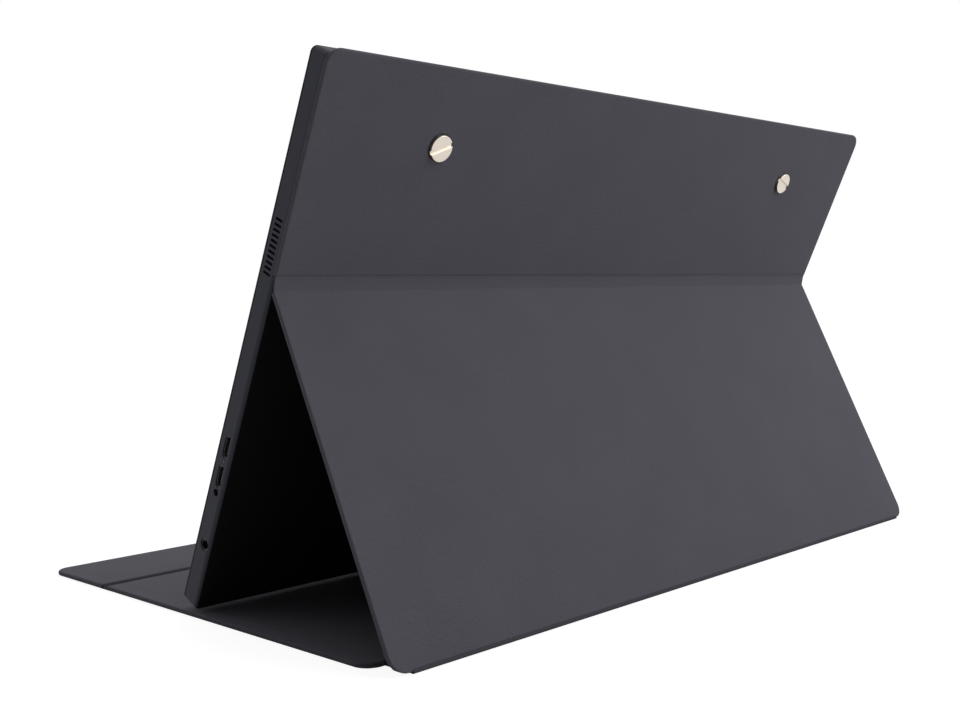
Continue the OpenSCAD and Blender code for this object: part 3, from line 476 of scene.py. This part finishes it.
def hinge_strip(name, half, rows, depths, replaced, material=cloth):
    """A strip of doubled cloth: rows of (y, z) along its outer face, and how deep it is at each row."""
    bm = bmesh.new()
    flat = bm.loops.layers.uv.new("weave")
    outer = [Vector((0, *row)) for row in rows]
    lines, run, runs = [], 0.0, []
    for i, (here, depth) in enumerate(zip(outer, depths)):
        along = (outer[min(i + 1, len(rows) - 1)] - outer[max(i - 1, 0)]).normalized()
        inner = here + depth * Vector((0, along.z, -along.y))
        run += (here - outer[max(i - 1, 0)]).length
        runs.append(run)
        lines.append([bm.verts.new((side * half, p.y, p.z)) for p, side in (
            (here, -1), (here, 1), (inner, 1), (inner, -1))])
    for before, after, start_run, end_run in zip(lines, lines[1:], runs, runs[1:]):
        for a, b in ((0, 1), (1, 2), (2, 3), (3, 0)):
            face = bm.faces.new((before[a], before[b], after[b], after[a]))
            for loop, at in zip(face.loops, (start_run, start_run, end_run, end_run)):
                loop[flat].uv = (loop.vert.co.x * mm, at * mm)
    for line in (lines[0], lines[-1]):
        bm.faces.new(line)
    bmesh.ops.recalc_face_normals(bm, faces=bm.faces)
    thinnest = min(abs(depth) for depth in depths)
    soften(bm, lambda a, b: half - min(abs(a.x), abs(b.x)) < slack, end_round * thinnest)
    bmesh.ops.transform(bm, matrix=table_frame, verts=bm.verts)
    piece = into_scene(bm, name, material, None, replaced, soft=60)
    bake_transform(piece)


def on(laid_in, y, z):
    """A point of a panel's frame as (y, z) on the table's frame, in millimetres."""
    p = laid_in @ Vector((0, y, z)) / mm
    return p.y, p.z


def rounded(a, corner, b, steps):
    """Points of a soft bend from a to b round a corner."""
    points = []
    for i in range(1, steps):
        t = i / steps
        points.append(tuple((1 - t) ** 2 * p + 2 * t * (1 - t) * q + t * t * r
                            for p, q, r in zip(a, corner, b)))
    return points


fold_half, foot_half, tuck = 177.3, 169.5, 2.4
in_upper, in_leg, off_table = 0.2, 0.1, 0.02

# Back fold: a soft bend between the two panels' faces
fold_depth, bend_off, bend_corner, bend_steps = 0.7, 0.2, 3.3, 8
bend_top = on(monitor_frame, fold_above - bend_off, in_upper)
bend_low = on(leg_frame, -fold_below, in_leg)
rows = [on(monitor_frame, fold_above + tuck, in_upper), bend_top,
        *rounded(bend_top, on(monitor_frame, bend_corner, in_upper), bend_low, bend_steps), bend_low,
        on(leg_frame, -fold_below - tuck, in_leg)]
hinge_strip("back_fold_cloth", fold_half, rows, [fold_depth] * len(rows), [])

# Foot fold: flat on the table, then a small roll up to the leg's lower edge
foot_depth, foot_flat, roll_from, roll_r, foot_up = -0.45, 6, 1.2, 0.55, 1.6
foot_roll = [(foot_y + foot_end + roll_r * cos(radians(turn)),
              off_table + roll_r + roll_r * sin(radians(turn))) for turn in range(-90, 31, 30)]
rows = [(base_rear_y - tuck, off_table), (base_rear_y, off_table), (foot_y - foot_flat, off_table),
        (foot_y - roll_from, off_table), *foot_roll, on(leg_frame, -leg_len + foot_up, in_leg)]
hinge_strip("foot_fold_cloth", foot_half, rows, [foot_depth] * len(rows), ["spine_strip"],
            fold_shade_cloth)

# Crease: how far each row is from the fold and how thick the strip is there, down to a valley
half_rows = [(flap_gutter + tuck, 1.9), (flap_gutter + 0.1, 1.9), (1.7, 1.7), (0.9, 1.0)]
valley = half_rows + [(0, 0.8)] + [(-away, depth) for away, depth in reversed(half_rows)]
hinge_strip("crease_cloth", fold_half, [(crease_y + away, off_table) for away, _ in valley],
            [depth for _, depth in valley], [],
            fold_shade_cloth)

# ---- Camera, lamps and stage ----
# A white floor and background, soft light that is strongest from the front left, and one wide lamp
# behind, above and to one side.
azimuth, elevation, twist = radians(134.5447), radians(2.9009), radians(-1.2943)
eye = (0.4203, 0.39513, 0.1186)
back = Vector((sin(azimuth) * cos(elevation), -cos(azimuth) * cos(elevation), sin(elevation)))
right = Vector((cos(azimuth), sin(azimuth), 0))
up = back.cross(right)
lens = bpy.data.cameras.new("camera")
lens.lens, lens.sensor_width, lens.clip_start = 44.87, 36, 0.01
camera = bpy.data.objects.new("camera", lens)
axes = Matrix((right * cos(twist) + up * sin(twist), up * cos(twist) - right * sin(twist), back))
camera.matrix_world = Matrix.Translation(eye) @ axes.transposed().to_4x4()
bpy.context.scene.collection.objects.link(camera)
bpy.context.scene.camera = camera

lamp_at, lamp_away = (-0.5, 1.0, 0.88), Vector((-0.5, 0.95, 0.76))
lamp_data = bpy.data.lights.new("wide_lamp", "AREA")
lamp_data.size, lamp_data.energy = 1.0, 11.8
lamp = bpy.data.objects.new("wide_lamp", lamp_data)
lamp_turn = lamp_away.to_track_quat("Z", "Y").to_matrix().to_4x4()
lamp.matrix_world = Matrix.Translation(lamp_at) @ lamp_turn
bpy.context.scene.collection.objects.link(lamp)


def seen_or_mirrored(tree):
    """1 for rays from the camera and for reflections and refractions, else 0."""
    rays = tree.nodes.new("ShaderNodeLightPath")
    return value(tree, "MINIMUM", 1.0, value(tree, "ADD", rays.outputs["Is Camera Ray"], value(
        tree, "ADD", rays.outputs["Is Glossy Ray"], rays.outputs["Is Transmission Ray"])))


world = bpy.data.worlds.new("studio")
world.use_nodes = True
air = world.node_tree
sky = air.nodes["Background"]
sky.inputs["Color"].default_value = (1, 1, 1, 1)
brightest = Vector((-0.56, -0.56, 0.61)).normalized()
sky_level, sky_span, sky_least, sky_sides = 0.17, 1.33, 0.02, 0.45
facing = air.nodes.new("ShaderNodeVectorMath")
facing.operation = "DOT_PRODUCT"
air.links.new(air.nodes.new("ShaderNodeTexCoord").outputs["Generated"], facing.inputs[0])
facing.inputs[1].default_value = brightest
way = air.nodes.new("ShaderNodeSeparateXYZ")
air.links.new(air.nodes.new("ShaderNodeTexCoord").outputs["Generated"], way.inputs[0])
sideways = value(air, "MULTIPLY", value(air, "MULTIPLY", way.outputs["X"], way.outputs["X"]), sky_sides)
soft_level = value(air, "MAXIMUM", value(air, "SUBTRACT", value(
    air, "MULTIPLY_ADD", facing.outputs["Value"], sky_span, sky_level), sideways), sky_least)
white_where_seen = air.nodes.new("ShaderNodeMix")
air.links.new(seen_or_mirrored(air), white_where_seen.inputs["Factor"])
air.links.new(soft_level, white_where_seen.inputs["A"])
white_where_seen.inputs["B"].default_value = 1
air.links.new(white_where_seen.outputs["Result"], sky.inputs["Strength"])
bpy.context.scene.world = world
bpy.context.scene.view_settings.view_transform = "Standard"

floor_half, floor_z = 6, -0.0003
floor_shade, floor_glow, glow_level = 0.65, 0.7, 1.3
floor_mesh = bmesh.new()
bmesh.ops.create_grid(floor_mesh, x_segments=1, y_segments=1, size=floor_half)
bmesh.ops.translate(floor_mesh, verts=floor_mesh.verts, vec=(0, 0, floor_z))
floor_data = bpy.data.meshes.new("floor")
floor_mesh.to_mesh(floor_data)
floor_mesh.free()
floor = bpy.data.objects.new("floor", floor_data)
bpy.context.scene.collection.objects.link(floor)
white = bpy.data.materials.new("white_floor")
white.use_nodes = True
paper = white.node_tree
matte = paper.nodes["Principled BSDF"]
matte.inputs["Base Color"].default_value = (floor_shade, floor_shade, floor_shade, 1)
matte.inputs["Roughness"].default_value = 0.9
matte.inputs["Specular IOR Level"].default_value = 0
glow = paper.nodes.new("ShaderNodeEmission")
glow.inputs["Strength"].default_value = glow_level
mixed = paper.nodes.new("ShaderNodeMixShader")
paper.links.new(value(paper, "MULTIPLY", seen_or_mirrored(paper), floor_glow), mixed.inputs["Fac"])
paper.links.new(matte.outputs[0], mixed.inputs[1])
paper.links.new(glow.outputs[0], mixed.inputs[2])
paper.links.new(mixed.outputs[0], paper.nodes["Material Output"].inputs["Surface"])
floor_data.materials.append(white)
